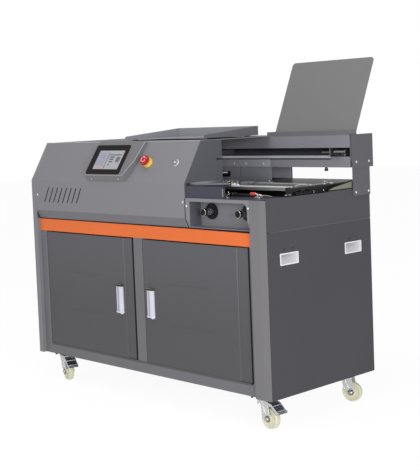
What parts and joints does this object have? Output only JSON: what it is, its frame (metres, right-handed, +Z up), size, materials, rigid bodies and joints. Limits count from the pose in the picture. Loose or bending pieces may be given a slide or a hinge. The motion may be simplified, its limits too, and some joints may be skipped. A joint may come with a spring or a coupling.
{
  "type": "thermal binding machine",
  "caption": "Floor-standing hot-melt perfect binder on a two-door cabinet with casters, a slanted touch-screen panel, clamp carriage, milling, glue and nip stations and a slanted paper board.",
  "frame": {"origin": "bottom centre of the overall box, on the floor", "axes": "+X along the machine to the nip end at the right, +Y from the front doors to the rear, +Z up"},
  "size_m": [1.3498, 0.6572, 1.29],
  "materials": {
    "housing_paint": "mid grey powder coat, fine texture, satin",
    "door_paint": "dark grey powder coat, fine texture, satin",
    "side_paint": "dark grey powder coat, fine texture, satin",
    "dark_paint": "blue-grey powder coat, fine texture, satin",
    "orange_paint": "orange powder coat, satin",
    "bright_metal": "satin chrome-plated zinc",
    "zinc_steel": "bright zinc plated steel",
    "ground_steel": "ground steel plate",
    "polished_steel": "polished hard-chromed steel",
    "black_plastic": "moulded black plastic, fine texture",
    "yellow_plastic": "moulded yellow plastic",
    "red_plastic": "moulded red plastic",
    "cast_aluminium": "cast and machined aluminium",
    "pull_plastic": "moulded pale grey plastic",
    "wheel_plastic": "moulded cream nylon",
    "screw_steel": "nickel plated screw heads"
  },
  "bodies": {
    "cabinet": {"housing_cover": "housing_paint", "left_side_panel": "housing_paint", "base_frame": "housing_paint", "right_pillar": "housing_paint", "screen_hood": "housing_paint", "top_tray": "housing_paint", "dial_panel": "housing_paint", "rear_panel": "housing_paint", "right_side_panel": "side_paint", "right_upper_panel": "side_paint", "housing_end_wall": "dark_paint", "milling_guard": "dark_paint", "inner_wall": "dark_paint", "beam_cover": "dark_paint", "tower_post": "dark_paint", "tower_cap": "dark_paint", "paper_board": "dark_paint", "table_supports": "dark_paint", "front_beam": "orange_paint", "door_pivot_pins": "zinc_steel", "machine_deck": "zinc_steel", "caster_plates": "zinc_steel", "electrical_box": "zinc_steel", "waste_box": "zinc_steel", "nip_table": "ground_steel", "nip_rear_jaw": "ground_steel", "guide_strip": "ground_steel", "guide_shaft": "polished_steel", "rail_stop": "polished_steel", "touch_screen": "black_plastic", "estop_body": "yellow_plastic", "milling_motor": "cast_aluminium", "glue_tank": "cast_aluminium", "side_pulls": "pull_plastic", "panel_screws": "screw_steel"},
    "left_door_body": {"left_door": "door_paint", "left_door_handle": "bright_metal"},
    "right_door_body": {"right_door": "door_paint", "right_door_handle": "bright_metal"},
    "stop_stem": {"estop_stem": "red_plastic"},
    "stop_cap": {"estop_cap": "red_plastic"},
    "start_button": {"power_button": "polished_steel"},
    "left_adjuster": {"left_dial": "black_plastic"},
    "right_adjuster": {"right_dial": "black_plastic"},
    "carriage": {"clamp_carriage": "ground_steel"},
    "clamp_plate": {"clamp_front_plate": "ground_steel"},
    "cutter": {"milling_cutter": "ground_steel"},
    "roller_left": {"glue_roller_left": "cast_aluminium"},
    "roller_right": {"glue_roller_right": "cast_aluminium"},
    "nip_jaw": {"nip_front_jaw": "ground_steel"},
    "fork_front_left": {"caster_fork_front_left": "zinc_steel"},
    "wheel_front_left": {"caster_wheel_front_left": "wheel_plastic"},
    "pedal_front_left": {"brake_pedal_front_left": "black_plastic"},
    "fork_front_right": {"caster_fork_front_right": "zinc_steel"},
    "wheel_front_right": {"caster_wheel_front_right": "wheel_plastic"},
    "pedal_front_right": {"brake_pedal_front_right": "black_plastic"},
    "fork_rear_left": {"caster_fork_rear_left": "zinc_steel"},
    "wheel_rear_left": {"caster_wheel_rear_left": "wheel_plastic"},
    "fork_rear_right": {"caster_fork_rear_right": "zinc_steel"},
    "wheel_rear_right": {"caster_wheel_rear_right": "wheel_plastic"}
  },
  "joints": [
    {"name": "left_door_hinge", "type": "hinge", "parent": "cabinet", "child": "left_door_body", "pos_m": [-0.59088, -0.28914, 0.395], "axis": [0, 0, -1], "range_deg": [0, 110]},
    {"name": "right_door_hinge", "type": "hinge", "parent": "cabinet", "child": "right_door_body", "pos_m": [0.55212, -0.28914, 0.395], "axis": [0, 0, 1], "range_deg": [0, 110]},
    {"name": "stop_press", "type": "slide", "parent": "cabinet", "child": "stop_stem", "axis": [0, 0.8599, -0.5104], "range_m": [0, 0.004]},
    {"name": "stop_twist", "type": "hinge", "parent": "stop_stem", "child": "stop_cap", "pos_m": [0.03612, -0.28795, 0.9353], "axis": [0, -0.8599, 0.5104], "range_deg": [-35, 0], "stiffness_Nm_per_rad": 0.02},
    {"name": "start_press", "type": "slide", "parent": "cabinet", "child": "start_button", "axis": [0, 0.8599, -0.5104], "range_m": [0, 0.002], "stiffness_N_per_m": 400},
    {"name": "left_adjuster_turn", "type": "hinge", "parent": "cabinet", "child": "left_adjuster", "pos_m": [0.35712, -0.26414, 0.751], "axis": [0, 1, 0], "range_deg": [-150, 150]},
    {"name": "right_adjuster_turn", "type": "hinge", "parent": "cabinet", "child": "right_adjuster", "pos_m": [0.53712, -0.26414, 0.751], "axis": [0, 1, 0], "range_deg": [-150, 150]},
    {"name": "carriage_travel", "type": "slide", "parent": "cabinet", "child": "carriage", "axis": [1, 0, 0], "range_m": [0, 0.51]},
    {"name": "clamp_close", "type": "slide", "parent": "carriage", "child": "clamp_plate", "axis": [0, 1, 0], "range_m": [0, 0.038]},
    {"name": "cutter_spin", "type": "hinge", "parent": "cabinet", "child": "cutter", "pos_m": [0.20512, -0.07314, 0.83], "axis": [0, 0, 1], "continuous": true},
    {"name": "roller_left_spin", "type": "hinge", "parent": "cabinet", "child": "roller_left", "pos_m": [-0.11488, -0.07314, 0.826], "axis": [0, 1, 0], "continuous": true},
    {"name": "roller_right_spin", "type": "hinge", "parent": "cabinet", "child": "roller_right", "pos_m": [-0.01488, -0.07314, 0.826], "axis": [0, 1, 0], "continuous": true},
    {"name": "nip_close", "type": "slide", "parent": "cabinet", "child": "nip_jaw", "axis": [0, 1, 0], "range_m": [0, 0.038]},
    {"name": "swivel_front_left", "type": "hinge", "parent": "cabinet", "child": "fork_front_left", "pos_m": [-0.56488, -0.26114, 0.106], "axis": [0, 0, 1], "continuous": true},
    {"name": "roll_front_left", "type": "hinge", "parent": "fork_front_left", "child": "wheel_front_left", "pos_m": [-0.53604, -0.26941, 0.0375], "axis": [0.2756, 0.9613, 0], "continuous": true},
    {"name": "brake_front_left", "type": "hinge", "parent": "fork_front_left", "child": "pedal_front_left", "pos_m": [-0.53893, -0.26858, 0.089], "axis": [0.2756, 0.9613, 0], "range_deg": [0, 10]},
    {"name": "swivel_front_right", "type": "hinge", "parent": "cabinet", "child": "fork_front_right", "pos_m": [0.58412, -0.26114, 0.106], "axis": [0, 0, 1], "continuous": true},
    {"name": "roll_front_right", "type": "hinge", "parent": "fork_front_right", "child": "wheel_front_right", "pos_m": [0.61408, -0.26271, 0.0375], "axis": [0.0523, 0.9986, 0], "continuous": true},
    {"name": "brake_front_right", "type": "hinge", "parent": "fork_front_right", "child": "pedal_front_right", "pos_m": [0.61108, -0.26255, 0.089], "axis": [0.0523, 0.9986, 0], "range_deg": [0, 10]},
    {"name": "swivel_rear_left", "type": "hinge", "parent": "cabinet", "child": "fork_rear_left", "pos_m": [-0.56488, 0.18586, 0.106], "axis": [0, 0, 1], "continuous": true},
    {"name": "roll_rear_left", "type": "hinge", "parent": "fork_rear_left", "child": "wheel_rear_left", "pos_m": [-0.54031, 0.20307, 0.0375], "axis": [-0.5736, 0.8192, 0], "continuous": true},
    {"name": "swivel_rear_right", "type": "hinge", "parent": "cabinet", "child": "fork_rear_right", "pos_m": [0.58412, 0.18586, 0.106], "axis": [0, 0, 1], "continuous": true},
    {"name": "roll_rear_right", "type": "hinge", "parent": "fork_rear_right", "child": "wheel_rear_right", "pos_m": [0.61265, 0.19514, 0.0375], "axis": [-0.309, 0.9511, 0], "continuous": true}
  ],
  "couplings": [
    {"joint": "roller_right_spin", "follows": "roller_left_spin", "ratio": 1}
  ]
}
